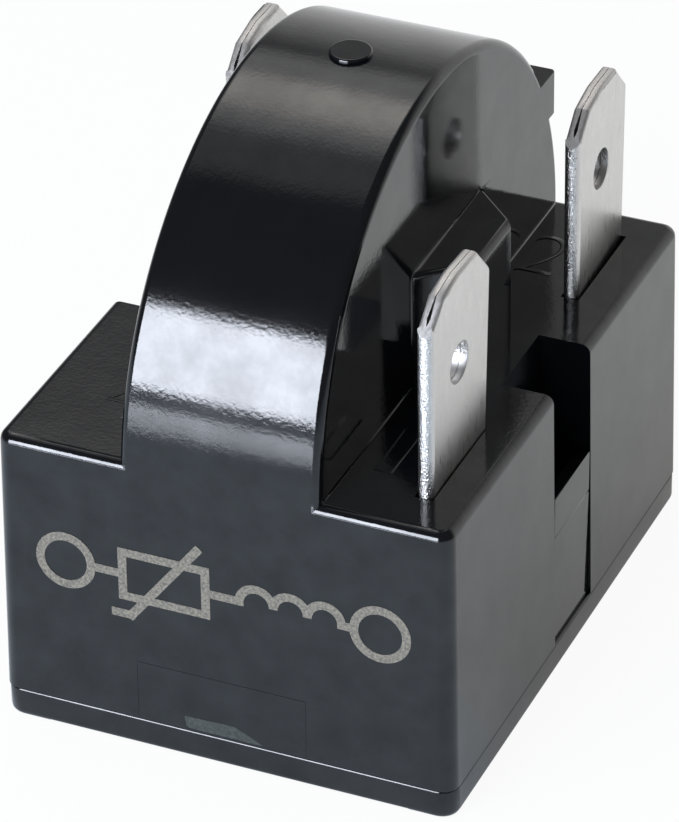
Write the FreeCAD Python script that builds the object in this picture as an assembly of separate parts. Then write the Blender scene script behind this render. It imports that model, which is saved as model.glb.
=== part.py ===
import FreeCAD, Part
import math
import os

os.makedirs("parts", exist_ok=True)

V = FreeCAD.Vector

# All sizes are in millimetres and all angles in degrees.
# +X points to the right of the front face, +Y away from it, +Z up.
# The origin is the middle of the underside of the bottom cover.

# Block of the housing, measured at its top face
block_width = 22.6
block_depth = 29.2
block_top = 15.7
block_draft = 0.75
corner_radius = 0.75
top_edge_radius = 0.45
wall = 1.5

# Half-round hump that holds the thermistor disc
hump_right = 4.95
hump_left = 5.05
hump_left_draft = 2.6
hump_wall = 1.75
hump_rim_radius = 0.38
pip_radius = 0.95
pip_rise = 0.35
pip_edge = 0.1
lug_bottom = 20.9
lug_height = 2.3
lug_inset = 0.3
lug_edge = 0.25

# Line across the housing on which the latches and bosses are centred
side_y = 0.35

# Bosses on the flats of the hump, which house the contact springs
boss_reach = 2.45
boss_root_front = 4.1
boss_root_rear = 4.4
boss_face_width = 4.0
boss_top = 22.05
boss_edge = 0.45
boss_wall = 1.3
boss_pocket_width = 3.5

# Channels in the side walls for the latch arms
channel_width = 4.7
channel_depth = 2.6
channel_wall = 1.1
catch_top = 7.6
catch_depth = 1.2

# Bottom cover
cover_rim = 1.6
cover_step = 0.1
plug_height = 1.6
plug_clearance = 0.1
relief_width = 18.4
relief_depth = 0.15

# Latch arms of the cover
arm_top = 9.85
arm_lip = 0.65
arm_thickness = 1.2
arm_front_gap = 0.1
arm_rear_gap = 0.04
arm_root_recess = 0.17
barb_reach = 0.8
barb_clearance = 0.05

# Thermistor disc and the saddle that carries it
disc_radius = 10.0
disc_thickness = 2.6
saddle_length = 12.0
saddle_cheek = 1.0
saddle_lip = 2.3
saddle_clearance = 0.05
stop_rib_length = 7.0
stop_rib_thickness = 1.6
stop_rib_clearance = 0.1

# Sheet terminals with folded tabs
sheet = 0.4
tab_width = 6.3
tab_rise = 9.7
tab_right_inset = 2.35
tab_left_inset = 2.65
tab_front_inset = 5.65
tab_rear_inset = 5.15
tab_front_chamfer = 1.3
tab_rear_chamfer = 1.0
tab_bevel = 0.14
tab_hole_radius = 1.0
tab_hole_drop = 4.2
fold_gap = 0.05
slot_clearance = 0.12
flap_overlap = 1.4
strip_mid_half = 3.5
strip_mid_top = 12.0
strip_bend = 0.8

# Contact springs
spring_thickness = 0.3
spring_width = 3.2
spring_angle = 44.5
spring_bend = 1.2
spring_end_clearance = 0.75

# Rivet that joins each spring to its terminal
rivet_radius = 0.7
rivet_head_radius = 1.25
rivet_head = 0.5
rivet_clearance = 0.1

# Sockets for the two compressor pins
pin_radius = 1.65
pin_clearance = 0.35
socket_top = 11.0
socket_wrap_angle = 312.0
socket_tail_inset = 2.2
socket_tail_bottom = 5.0
socket_tail_top = 10.0
pin_hole_radius = 1.85
pin_funnel_radius = 2.7
pin_funnel_depth = 0.9
clip_thickness = 0.3
clip_bottom = 5.6
clip_top = 9.4
clip_start_angle = 60.0
clip_end_angle = 300.0

# Values that follow from the sizes above
draft_slope = math.tan(math.radians(block_draft))
hump_radius = block_depth / 2 * math.cos(math.radians(block_draft))
hump_lean = math.tan(math.radians(hump_left_draft))
crown = block_top + hump_radius
plug_top = cover_rim + plug_height
roof = block_top - wall
inner_x = block_width / 2 - wall
inner_y = block_depth / 2 - wall
hump_inner_right = hump_right - hump_wall
hump_inner_left = hump_left - hump_wall
channel_floor = block_width / 2 - channel_depth
tab_top = block_top + tab_rise
tab_right_x = block_width / 2 - tab_right_inset
tab_left_x = block_width / 2 - tab_left_inset
tab_front_y = tab_front_inset - block_depth / 2
tab_rear_y = block_depth / 2 - tab_rear_inset
disc_z = block_top
strip_mid_x = channel_floor - channel_wall - rivet_clearance - rivet_head - sheet / 2
pocket_x = hump_right + boss_reach - boss_wall
strip_bend_run = tab_right_x - sheet / 2 - strip_mid_x
spring_foot_x = strip_mid_x - sheet / 2 - spring_thickness / 2
spring_slope = math.tan(math.radians(spring_angle))
spring_crest_x = disc_thickness / 2 + spring_thickness / 2
spring_corner_x = spring_crest_x - spring_bend * (1 / math.sin(math.radians(spring_angle)) - 1)
spring_foot_z = disc_z - (spring_foot_x - spring_corner_x) * spring_slope
spring_low = plug_top + sheet
rivet_z = (spring_low + spring_foot_z - spring_bend / 2) / 2
socket_radius = pin_radius + sheet
pin_y = side_y - strip_mid_half - strip_bend_run - socket_radius - pin_clearance
pin_right_x = tab_right_x - sheet - socket_radius
pin_left_x = tab_left_x - sheet - socket_radius
outer_reach = block_width


def box(x_min, x_max, y_min, y_max, z_min, z_max):
    """Block between two corners."""
    size = (x_max - x_min, y_max - y_min, z_max - z_min)
    return Part.makeBox(*size, V(x_min, y_min, z_min))


def mirror_x(shape):
    """Copy of a shape on the other side of the middle plane."""
    return shape.mirror(V(0, 0, 0), V(1, 0, 0))


def prism(points, direction):
    """Solid pushed out from a flat outline."""
    outline = Part.makePolygon([V(*point) for point in points + points[:1]])
    return Part.Face(outline).extrude(V(*direction))


def edges_where(shape, test):
    """Edges of a shape that pass a test."""
    return [edge for edge in shape.Edges if test(edge)]


def drafted_block(z_low, z_high, inset):
    """Round-cornered block whose walls lean in towards the top."""
    low = (block_top - z_low) * draft_slope - inset
    high = (block_top - z_high) * draft_slope - inset
    half_x = block_width / 2
    half_y = block_depth / 2
    front_view = prism(
        [
            (-half_x - low, -block_depth, z_low),
            (half_x + low, -block_depth, z_low),
            (half_x + high, -block_depth, z_high),
            (-half_x - high, -block_depth, z_high),
        ],
        (0, 2 * block_depth, 0),
    )
    side_view = prism(
        [
            (-block_width, -half_y - low, z_low),
            (-block_width, half_y + low, z_low),
            (-block_width, half_y + high, z_high),
            (-block_width, -half_y - high, z_high),
        ],
        (2 * block_width, 0, 0),
    )
    body = front_view.common(side_view)
    rise = z_high - z_low
    uprights = edges_where(body, lambda edge: edge.BoundBox.ZLength > rise / 2)
    return body.makeFillet(corner_radius, uprights)


def left_normal(direction):
    """Direction turned a quarter to the left in the XY plane."""
    return V(-direction.y, direction.x, 0)


def strip_side(points, bend, offset):
    """Edges of one side of a strip, at an offset from its middle line."""
    ahead = (points[1] - points[0]).normalize()
    last = points[0] + left_normal(ahead) * offset
    first = last
    edges = []
    for index in range(1, len(points) - 1):
        before = (points[index] - points[index - 1]).normalize()
        ahead = (points[index + 1] - points[index]).normalize()
        turn = math.copysign(1, before.cross(ahead).z)
        setback = bend * math.tan(before.getAngle(ahead) / 2)
        entry = points[index] - before * setback
        leave = points[index] + ahead * setback
        centre = entry + left_normal(before) * bend * turn
        outward = (points[index] - centre).normalize()
        start = entry + left_normal(before) * offset
        middle = centre + outward * (bend - turn * offset)
        end = leave + left_normal(ahead) * offset
        edges.append(Part.makeLine(last, start))
        edges.append(Part.Arc(start, middle, end).toShape())
        last = end
    finish = points[-1] + left_normal(ahead) * offset
    edges.append(Part.makeLine(last, finish))
    return edges, first, finish


def bent_strip(path, bend, thickness):
    """Face of a strip of even thickness along a path with round bends."""
    points = [V(x, y, 0) for x, y in path]
    left, left_start, left_end = strip_side(points, bend, thickness / 2)
    right, right_start, right_end = strip_side(points, bend, -thickness / 2)
    caps = [Part.makeLine(left_end, right_end), Part.makeLine(right_start, left_start)]
    outline = Part.Wire(Part.__sortEdges__(left + right + caps))
    return Part.Face(outline)


def hump_profile(foot):
    """Half-round outline that runs on tangentially down the drafted front."""
    angle = math.radians(block_draft)
    side = hump_radius * math.cos(angle)
    tangent_z = block_top + hump_radius * math.sin(angle)
    low_side = block_depth / 2 + foot * draft_slope
    low_z = block_top - foot
    arc = Part.Arc(V(0, -side, tangent_z), V(0, 0, crown), V(0, side, tangent_z)).toShape()
    lines = [
        Part.makeLine(V(0, side, tangent_z), V(0, low_side, low_z)),
        Part.makeLine(V(0, low_side, low_z), V(0, -low_side, low_z)),
        Part.makeLine(V(0, -low_side, low_z), V(0, -side, tangent_z)),
    ]
    return Part.Face(Part.Wire([arc] + lines))


def hump_body():
    """Half-round hump, flush with the front and back of the block."""
    foot = 2 * top_edge_radius
    low_left = hump_left + foot * hump_lean
    high_left = hump_left - block_depth * hump_lean
    profile = hump_profile(foot)
    profile.translate(V(-low_left, 0, 0))
    body = profile.extrude(V(low_left + hump_right, 0, 0))
    wedge = prism(
        [
            (-low_left, -block_depth, block_top - foot),
            (-low_left, -block_depth, block_top + block_depth),
            (-high_left, -block_depth, block_top + block_depth),
        ],
        (0, 2 * block_depth, 0),
    )
    body = body.cut(wedge)

    def on_rim(edge):
        """Whether an edge belongs to one of the two rims of the hump."""
        bounds = edge.BoundBox
        return bounds.XLength < hump_wall and bounds.ZLength > foot / 2

    return body.makeFillet(hump_rim_radius, edges_where(body, on_rim))


def crown_pip():
    """Low round pip on the crown of the hump."""
    centre_x = (hump_right - hump_left + hump_radius * hump_lean) / 2
    height = wall + pip_rise
    pip = Part.makeCylinder(pip_radius, height, V(centre_x, side_y, crown - wall))
    top = edges_where(pip, lambda edge: edge.BoundBox.ZMin > crown)
    return pip.makeChamfer(pip_edge, top)


def rear_lug():
    """Bar across the back of the hump for the clip of a plug-on cover."""
    back = block_depth / 2 - lug_inset
    lug_top = lug_bottom + lug_height
    front = math.sqrt(hump_radius ** 2 - (lug_top - block_top) ** 2) - wall
    left = (lug_top - block_top) * hump_lean - hump_left
    lug = box(left, hump_right, front, back, lug_bottom, lug_top)
    rear = edges_where(lug, lambda edge: edge.BoundBox.YMin > back - wall / 10)
    upright = [edge for edge in rear if edge.BoundBox.ZLength > wall]
    return lug.makeFillet(lug_edge, upright)


def spring_boss():
    """Boss with slanted ends on the right flat of the hump."""
    root_x = hump_inner_right
    flat_x = hump_right
    face_x = hump_right + boss_reach
    face = boss_face_width / 2
    z_low = block_top - wall / 2
    points = [
        (root_x, side_y - boss_root_front, z_low),
        (flat_x, side_y - boss_root_front, z_low),
        (face_x, side_y - face, z_low),
        (face_x, side_y + face, z_low),
        (flat_x, side_y + boss_root_rear, z_low),
        (root_x, side_y + boss_root_rear, z_low),
    ]
    boss = prism(points, (0, 0, boss_top - z_low))

    def rounded(edge):
        """Whether an edge is a free edge of the boss above the flat."""
        bounds = edge.BoundBox
        return bounds.ZMin > boss_top - wall / 10 and bounds.XMax > flat_x + wall / 10

    return boss.makeFillet(boss_edge, edges_where(boss, rounded))


def hump_cavity():
    """Room inside the hump for the disc and its springs."""
    length = hump_inner_left + hump_inner_right
    start = V(-hump_inner_left, 0, block_top)
    drum = Part.makeCylinder(hump_radius - wall, length, start, V(1, 0, 0))
    upper = box(-hump_left, hump_right, -block_depth, block_depth, block_top, crown)
    neck = box(-hump_inner_left, hump_inner_right, -inner_y, inner_y, roof - wall, block_top)
    rib = box(
        -stop_rib_thickness / 2,
        stop_rib_thickness / 2,
        -stop_rib_length / 2,
        stop_rib_length / 2,
        block_top + disc_radius / 2,
        crown,
    )
    disc_room = Part.makeCylinder(
        disc_radius + stop_rib_clearance,
        length,
        V(-hump_inner_left, 0, disc_z),
        V(1, 0, 0),
    )
    return drum.common(upper).fuse(neck).cut(rib.cut(disc_room))


def boss_pocket():
    """Room inside the right boss for the free end of the spring."""
    half = boss_pocket_width / 2
    return box(0, pocket_x, side_y - half, side_y + half, roof - wall, boss_top - boss_wall)


def channel_shell():
    """Walls that part the right channel from the inside of the housing."""
    half = channel_width / 2 + channel_wall
    inner = channel_floor - channel_wall
    return box(inner, block_width, side_y - half, side_y + half, 0, roof)


def channel():
    """Open channel in the right wall, with the catch for the latch arm."""
    half = channel_width / 2
    z_top = block_top + wall
    upper = box(channel_floor, outer_reach, side_y - half, side_y + half, catch_top, z_top)
    catch_x = channel_floor + catch_depth
    lower = box(catch_x, outer_reach, side_y - half, side_y + half, 0, catch_top)
    return upper.fuse(lower)


def tab_slot(x, y):
    """Slot in the roof for one folded tab."""
    half_x = sheet + slot_clearance
    half_y = tab_width / 2 + slot_clearance
    z_top = block_top + wall
    return box(x - half_x, x + half_x, y - half_y, y + half_y, roof - wall / 2, z_top)


def housing():
    """Moulded housing with hump, bosses, latch channels and tab slots."""
    block = drafted_block(cover_rim, block_top, 0)
    rims = edges_where(block, lambda edge: edge.BoundBox.ZMin > block_top - wall / 10)
    block = block.makeFillet(top_edge_radius, rims)
    boss = spring_boss()
    body = block.fuse([hump_body(), boss, mirror_x(boss), crown_pip(), rear_lug()])
    body = body.removeSplitter()
    room = box(-inner_x, inner_x, -inner_y, inner_y, 0, roof)
    room = room.cut([channel_shell(), mirror_x(channel_shell())])
    room = room.fuse([hump_cavity(), boss_pocket(), mirror_x(boss_pocket())])
    body = body.cut(room)
    body = body.cut([channel(), mirror_x(channel())])
    slots = [
        tab_slot(tab_right_x, tab_front_y),
        tab_slot(tab_right_x, tab_rear_y),
        tab_slot(-tab_left_x, tab_rear_y),
    ]
    return body.cut(slots).removeSplitter()


def latch_arm():
    """Springy arm of the cover, flush with the wall only at its tip."""
    wall_x = block_width / 2 + (block_top - arm_top) * draft_slope
    root_wall_x = block_width / 2 + (block_top - cover_rim) * draft_slope
    outer_root = root_wall_x - arm_root_recess
    inner_root = outer_root - arm_thickness
    inner_tip = wall_x - arm_thickness
    barb_z = catch_top + barb_clearance
    front = side_y - channel_width / 2 + arm_front_gap
    rear = side_y + channel_width / 2 - arm_rear_gap
    low = cover_rim / 2
    points = [
        (outer_root, front, low),
        (outer_root, front, cover_rim),
        (wall_x, front, arm_top),
        (wall_x - arm_lip, front, arm_top),
        (inner_tip - barb_reach, front, barb_z + barb_clearance),
        (inner_tip - barb_reach, front, barb_z),
        (inner_tip, front, barb_z),
        (inner_root, front, cover_rim),
        (inner_root, front, low),
    ]
    return prism(points, (0, rear - front, 0))


def saddle():
    """Saddle that carries the disc from below."""
    half = disc_thickness / 2 + saddle_cheek
    top = disc_z - disc_radius + saddle_lip
    body = box(-half, half, -saddle_length / 2, saddle_length / 2, cover_rim, top)
    room = disc_thickness / 2 + saddle_clearance
    seat = Part.makeCylinder(disc_radius, 2 * room, V(-room, 0, disc_z), V(1, 0, 0))
    return body.cut(seat)


def pin_hole(x):
    """Hole with a funnel for a compressor pin."""
    hole = Part.makeCylinder(pin_hole_radius, plug_top, V(x, pin_y, 0))
    base = V(x, pin_y, relief_depth)
    funnel = Part.makeCone(pin_funnel_radius, pin_hole_radius, pin_funnel_depth, base)
    return hole.fuse(funnel)


def bottom_cover():
    """Cover that closes the housing, with latch arms, saddle and pin holes."""
    body = drafted_block(0, cover_rim, cover_step)
    plug_x = inner_x - plug_clearance
    plug_y = inner_y - plug_clearance
    plug = box(-plug_x, plug_x, -plug_y, plug_y, cover_rim / 2, plug_top)
    half = channel_width / 2 + channel_wall + plug_clearance
    gap_x = channel_floor - channel_wall - plug_clearance
    gap = box(gap_x, block_width, side_y - half, side_y + half, cover_rim, plug_top)
    plug = plug.cut([gap, mirror_x(gap)])
    arm = latch_arm()
    body = body.fuse([plug, saddle(), arm, mirror_x(arm)])
    relief = box(-relief_width / 2, relief_width / 2, -block_depth, block_depth, 0, relief_depth)
    body = body.cut([pin_hole(pin_right_x), pin_hole(-pin_left_x), relief])
    return body.removeSplitter()


def thermistor_disc():
    """Ceramic disc that stands upright in the hump."""
    start = V(-disc_thickness / 2, 0, disc_z)
    return Part.makeCylinder(disc_radius, disc_thickness, start, V(1, 0, 0))


def rivet_hole():
    """Through hole for the rivet of the right spring."""
    start = V(spring_foot_x - sheet, side_y, rivet_z)
    return Part.makeCylinder(rivet_radius, 3 * sheet, start, V(1, 0, 0))


def folded_tab(tab_x, y):
    """Quick-connect tab of two sheet layers, folded at its front edge."""
    front = y - tab_width / 2
    rear = y + tab_width / 2
    low = roof - flap_overlap
    inner = box(tab_x - sheet, tab_x, front + sheet, rear, roof - sheet, tab_top)
    outer = box(tab_x, tab_x + sheet, front + sheet, rear, low, tab_top)
    fold = Part.makeCylinder(sheet, tab_top - low, V(tab_x, front + sheet, low))
    gap = box(tab_x - fold_gap / 2, tab_x + fold_gap / 2, front + sheet, rear, low, tab_top)
    tab = inner.fuse([outer, fold]).removeSplitter()
    corners = []
    for edge_y, chamfer in ((front, tab_front_chamfer), (rear, -tab_rear_chamfer)):
        corners.append(
            prism(
                [
                    (0, edge_y, tab_top),
                    (0, edge_y + chamfer, tab_top),
                    (0, edge_y, tab_top - abs(chamfer)),
                ],
                (outer_reach, 0, 0),
            )
        )
    tab = tab.cut(corners)

    def beveled(edge):
        """Whether an edge runs along a face of the tab at its tip."""
        bounds = edge.BoundBox
        high = bounds.ZMin > tab_top - tab_front_chamfer - tab_bevel
        return high and bounds.XLength < tab_bevel / 10 and bounds.YLength > tab_rear_chamfer / 2

    tab = tab.makeChamfer(tab_bevel, edges_where(tab, beveled))
    hole = Part.makeCylinder(
        tab_hole_radius,
        4 * sheet,
        V(tab_x - 2 * sheet, y, tab_top - tab_hole_drop),
        V(1, 0, 0),
    )
    return tab.cut([gap, hole])


def terminal_strip(tab_x):
    """Right conductor strip, bent inwards past the latch channel."""
    strip_x = tab_x - sheet / 2
    bend_run = strip_x - strip_mid_x
    path = [
        (strip_x, tab_front_y - tab_width / 2 + sheet),
        (strip_x, side_y - strip_mid_half - bend_run),
        (strip_mid_x, side_y - strip_mid_half),
        (strip_mid_x, side_y + strip_mid_half),
        (strip_x, side_y + strip_mid_half + bend_run),
        (strip_x, tab_rear_y + tab_width / 2),
    ]
    strip = bent_strip(path, strip_bend, sheet)
    strip.translate(V(0, 0, plug_top))
    strip = strip.extrude(V(0, 0, roof - plug_top))
    front = tab_front_y + tab_width / 2
    rear = tab_rear_y - tab_width / 2
    opening = box(0, outer_reach, front, rear, strip_mid_top, block_top)
    return strip.cut([opening, rivet_hole()])


def main_terminal():
    """Right terminal, which carries the front and the rear tab."""
    front_tab = folded_tab(tab_right_x, tab_front_y)
    rear_tab = folded_tab(tab_right_x, tab_rear_y)
    body = terminal_strip(tab_right_x).fuse([front_tab, rear_tab])
    return body.removeSplitter()


def start_terminal():
    """Left terminal with a rear tab only; its front end is cut low."""
    spare = box(0, outer_reach, -block_depth, 0, strip_mid_top, block_top)
    body = terminal_strip(tab_left_x).cut(spare)
    body = body.fuse(folded_tab(tab_left_x, tab_rear_y))
    return mirror_x(body.removeSplitter())


def contact_spring():
    """Right leaf spring: riveted foot, crest on the disc and free end."""
    end_x = pocket_x - spring_end_clearance
    path = [
        (spring_foot_x, spring_low),
        (spring_foot_x, spring_foot_z),
        (spring_corner_x, disc_z),
        (end_x, disc_z + (end_x - spring_corner_x) * spring_slope),
    ]
    leaf = bent_strip(path, spring_bend, spring_thickness)
    leaf.rotate(V(0, 0, 0), V(1, 0, 0), 90)
    leaf.translate(V(0, side_y + spring_width / 2, 0))
    leaf = leaf.extrude(V(0, -spring_width, 0))
    return leaf.cut(rivet_hole())


def spring_rivet():
    """Rivet with two flat heads through the right spring and strip."""
    outer_face = strip_mid_x + sheet / 2
    inner_face = spring_foot_x - spring_thickness / 2
    axis = V(1, 0, 0)
    shank_start = V(inner_face, side_y, rivet_z)
    shank = Part.makeCylinder(rivet_radius, outer_face - inner_face, shank_start, axis)
    inner_start = V(inner_face - rivet_head, side_y, rivet_z)
    inner_head = Part.makeCylinder(rivet_head_radius, rivet_head, inner_start, axis)
    outer_start = V(outer_face, side_y, rivet_z)
    outer_head = Part.makeCylinder(rivet_head_radius, rivet_head, outer_start, axis)
    return shank.fuse([inner_head, outer_head]).removeSplitter()


def pin_socket(x):
    """Socket rolled round a pin, with a flat tail on the terminal's side."""
    base = V(x, pin_y, plug_top)
    height = socket_top - plug_top
    up = V(0, 0, 1)
    outer = Part.makeCylinder(socket_radius, height, base, up, socket_wrap_angle)
    inner = Part.makeCylinder(pin_radius, height, base, up)
    tail = box(
        x + pin_radius,
        x + socket_radius,
        socket_tail_inset - inner_y,
        pin_y + sheet / 2,
        socket_tail_bottom,
        socket_tail_top,
    )
    return outer.fuse(tail).cut(inner).removeSplitter()


def socket_clip(x):
    """Spring clip that closes a socket on its pin."""
    base = V(x, pin_y, clip_bottom)
    height = clip_top - clip_bottom
    up = V(0, 0, 1)
    turn = clip_end_angle - clip_start_angle
    outer = Part.makeCylinder(socket_radius + clip_thickness, height, base, up, turn)
    clip = outer.cut(Part.makeCylinder(socket_radius, height, base, up))
    clip.rotate(base, up, clip_start_angle)
    return clip


def parts():
    """Every node name with its shape."""
    return {
        "housing": housing(),
        "bottom_cover": bottom_cover(),
        "thermistor_disc": thermistor_disc(),
        "main_terminal": main_terminal(),
        "start_terminal": start_terminal(),
        "main_contact_spring": contact_spring(),
        "start_contact_spring": mirror_x(contact_spring()),
        "spring_rivets": Part.makeCompound([spring_rivet(), mirror_x(spring_rivet())]),
        "main_pin_socket": pin_socket(pin_right_x),
        "start_pin_socket": mirror_x(pin_socket(pin_left_x)),
        "main_socket_clip": socket_clip(pin_right_x),
        "start_socket_clip": mirror_x(socket_clip(pin_left_x)),
    }


for name, shape in parts().items():
    shape.exportStep(f"parts/{name}.step")
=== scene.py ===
"""Dresses the compressor start relay: glossy black housing, tinned tabs and studio."""

import logging
import math
from collections.abc import Callable, Iterable, Iterator, Mapping, Sequence
from contextlib import contextmanager
from dataclasses import dataclass
from enum import Enum

import bmesh
import bpy
from mathutils import Matrix, Vector

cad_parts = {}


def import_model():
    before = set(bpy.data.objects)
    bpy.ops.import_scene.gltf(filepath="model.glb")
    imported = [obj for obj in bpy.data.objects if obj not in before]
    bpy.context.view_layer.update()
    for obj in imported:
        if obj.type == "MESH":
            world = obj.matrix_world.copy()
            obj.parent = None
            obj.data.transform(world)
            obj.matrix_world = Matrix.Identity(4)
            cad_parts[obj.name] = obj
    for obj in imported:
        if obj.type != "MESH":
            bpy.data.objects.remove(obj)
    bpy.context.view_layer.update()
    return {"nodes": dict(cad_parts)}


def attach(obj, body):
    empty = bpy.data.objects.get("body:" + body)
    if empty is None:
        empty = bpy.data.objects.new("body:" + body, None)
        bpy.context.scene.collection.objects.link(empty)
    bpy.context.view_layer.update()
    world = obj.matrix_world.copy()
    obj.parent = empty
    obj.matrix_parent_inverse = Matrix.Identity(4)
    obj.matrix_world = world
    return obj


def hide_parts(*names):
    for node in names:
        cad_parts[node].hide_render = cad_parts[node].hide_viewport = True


Solid = bpy.types.Object
Tree = bpy.types.NodeTree
Node = bpy.types.Node
Socket = bpy.types.NodeSocket
Material = bpy.types.Material
Pair = tuple[float, float]
Point = tuple[float, float, float]
Colour = tuple[float, float, float, float]

LOG = logging.getLogger("relay")
MM = 0.001
# Millimetres within which two places are the same.
NEAR = 0.01
# Millimetres by which a cutter reaches past what it cuts.
PAST = 1.0
# Least length in millimetres that an edge runs along an axis to count as its own.
LONG = 1.0
# Least share of a normal that lies along the way that its face looks.
FACING = 0.9
# Distance at which a cut joins a point that is already there.
CUT_SNAP = 1e-5
# Values between which most of a noise lies.
NOISE_SPAN = (0.3, 0.7)
UP, DOWN, RIGHT, BACK = (0, 0, 1), (0, 0, -1), (1, 0, 0), (0, 1, 0)
WHITE = (1.0, 1.0, 1.0, 1.0)


class Axis(Enum):
    """Axis that a round shape stands along: its direction and the turn to it."""

    X = (RIGHT, (0.0, math.pi / 2, 0.0))
    Y = (BACK, (-math.pi / 2, 0.0, 0.0))
    Z = (UP, (0.0, 0.0, 0.0))

    @property
    def turn(self) -> Point:
        """Turn from upright to the axis."""
        return self.value[1]


class Join(Enum):
    """How two solids are combined."""

    ADD = "UNION"
    CUT = "DIFFERENCE"


class Part(Enum):
    """Parts of a mesh that can be picked."""

    FACE = "faces"
    EDGE = "edges"
    VERT = "verts"


class Slot(Enum):
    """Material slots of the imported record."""

    HOUSING = "housing_plastic"
    COVER = "cover_plastic"
    TIN = "tinned_brass"


@dataclass(frozen=True)
class Block:
    """Sizes in millimetres that several sub-assemblies share.

    Attributes:
        width: Width of the housing's block at its top.
        front_y: Front of the block at its top.
        top: Height of the block.
        draft: Angle of its drafted walls.
        side_y: Middle of the bosses and of the latch channels.
    """

    width: float = 22.6
    front_y: float = -14.6
    top: float = 15.7
    draft: float = math.radians(0.75)
    side_y: float = 0.35

    @property
    def slope(self) -> float:
        """How far a drafted wall leans out per millimetre down."""
        return math.tan(self.draft)


BLOCK = Block()

# Modelling by operators. All shapes are made in millimetres and turned to
# metres when they are finished.


def only(solid: Solid) -> None:
    """Make one object the whole selection.

    Args:
        solid: Object that gets selected and active.
    """
    bpy.ops.object.select_all(action="DESELECT")
    solid.select_set(True)
    bpy.context.view_layer.objects.active = solid


def apply_place(solid: Solid) -> Solid:
    """Move an object's place, turn and size into its mesh.

    Args:
        solid: Object to be changed.

    Returns:
        The same object.
    """
    only(solid)
    bpy.ops.object.transform_apply(location=True, rotation=True, scale=True)
    return solid


def add_shape(operator: Callable[..., object], name: str, **settings: object) -> Solid:
    """Add a primitive with nothing else selected.

    Args:
        operator: Blender's operator for the primitive.
        name: Name of the new object.
        settings: Size and place for the operator.

    Returns:
        The primitive, with its place in its mesh.
    """
    bpy.ops.object.select_all(action="DESELECT")
    operator(**settings)
    shape = bpy.context.object
    shape.name = name
    return apply_place(shape)


def add_box(name: str, low: Point, high: Point) -> Solid:
    """Add a block between two corners.

    Args:
        name: Name of the new object.
        low: Its lowest corner.
        high: Its highest corner.

    Returns:
        The block.
    """
    middle = [(a + b) / 2 for a, b in zip(low, high)]
    size = [b - a for a, b in zip(low, high)]
    return add_shape(bpy.ops.mesh.primitive_cube_add, name, size=1, location=middle, scale=size)


def add_rod(name: str, base: Point, radius: float, length: float, axis: Axis, sides: int) -> Solid:
    """Add a round bar.

    Args:
        name: Name of the new object.
        base: Middle of its first end.
        radius: Its radius.
        length: Its length.
        axis: Axis that it runs along.
        sides: Facets round it.

    Returns:
        The bar.
    """
    ahead, turn = axis.value
    return add_shape(
        bpy.ops.mesh.primitive_cylinder_add,
        name,
        vertices=sides,
        radius=radius,
        depth=length,
        location=Vector(base) + Vector(ahead) * length / 2,
        rotation=turn,
    )


@contextmanager
def editing(solid: Solid) -> Iterator[None]:
    """Work on a mesh in edit mode, with nothing selected at first.

    Args:
        solid: Object whose mesh is worked on.

    Yields:
        Nothing, while edit mode is on.
    """
    only(solid)
    bpy.ops.object.mode_set(mode="EDIT")
    bpy.ops.mesh.select_all(action="DESELECT")
    yield
    bpy.ops.object.mode_set(mode="OBJECT")


def pick(solid: Solid, kind: Part, test: Callable[..., bool]) -> None:
    """Select what passes a test.

    Args:
        solid: Object in edit mode.
        kind: Parts of its mesh that are tested.
        test: Told each of them.
    """
    bpy.ops.mesh.select_mode(type=kind.name)
    bpy.ops.mesh.select_all(action="DESELECT")
    mesh = bmesh.from_edit_mesh(solid.data)
    for part in getattr(mesh, kind.value):
        if test(part):
            part.select_set(True)
    if kind is Part.VERT:
        mesh.select_flush(True)
    bmesh.update_edit_mesh(solid.data)


def pick_faces(solid: Solid, test: Callable[[Vector, Vector], bool]) -> None:
    """Select the faces whose middle and normal pass a test."""
    pick(solid, Part.FACE, lambda face: test(face.calc_center_median(), face.normal))


def pick_side(solid: Solid, way: Point) -> None:
    """Select the faces that look one way."""
    pick_faces(solid, lambda middle, normal: normal.dot(Vector(way)) > FACING)


def pick_edges(solid: Solid, test: Callable[[Vector, Vector], bool]) -> None:
    """Select the edges whose two ends pass a test."""
    pick(solid, Part.EDGE, lambda edge: test(edge.verts[0].co, edge.verts[1].co))


def pick_points(solid: Solid, test: Callable[[Vector], bool]) -> None:
    """Select the points whose place passes a test."""
    pick(solid, Part.VERT, lambda point: test(point.co))


def shift(move: Point) -> None:
    """Move what is selected in edit mode."""
    bpy.ops.transform.translate(value=move)


def stretch(factors: Point, about: Point) -> None:
    """Scale what is selected in edit mode about a point."""
    bpy.ops.transform.resize(value=factors, center_override=about)


def push_out(move: Point) -> None:
    """Extrude what is selected in edit mode."""
    bpy.ops.mesh.extrude_region_move(TRANSFORM_OT_translate={"value": move})


def round_off(radius: float, segments: int) -> None:
    """Round the selected edges.

    Args:
        radius: Radius of the rounding.
        segments: Facets across it.
    """
    bpy.ops.mesh.bevel(
        offset=radius,
        offset_type="OFFSET",
        segments=segments,
        profile=0.5,
        affect="EDGES",
        clamp_overlap=False,
    )


def slice_off(point: Point, outward: Point, fill: bool = True) -> None:
    """Cut away all that lies outward of a plane.

    Args:
        point: A point of the plane.
        outward: Normal that points to what goes.
        fill: Whether the cut is closed.
    """
    bpy.ops.mesh.select_all(action="SELECT")
    bpy.ops.mesh.bisect(
        plane_co=point, plane_no=outward, use_fill=fill, clear_outer=True, threshold=CUT_SNAP
    )


def score(point: Point, normal: Point) -> None:
    """Cut an edge loop where a plane meets the mesh."""
    bpy.ops.mesh.select_all(action="SELECT")
    bpy.ops.mesh.bisect(plane_co=point, plane_no=normal, threshold=CUT_SNAP)


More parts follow.
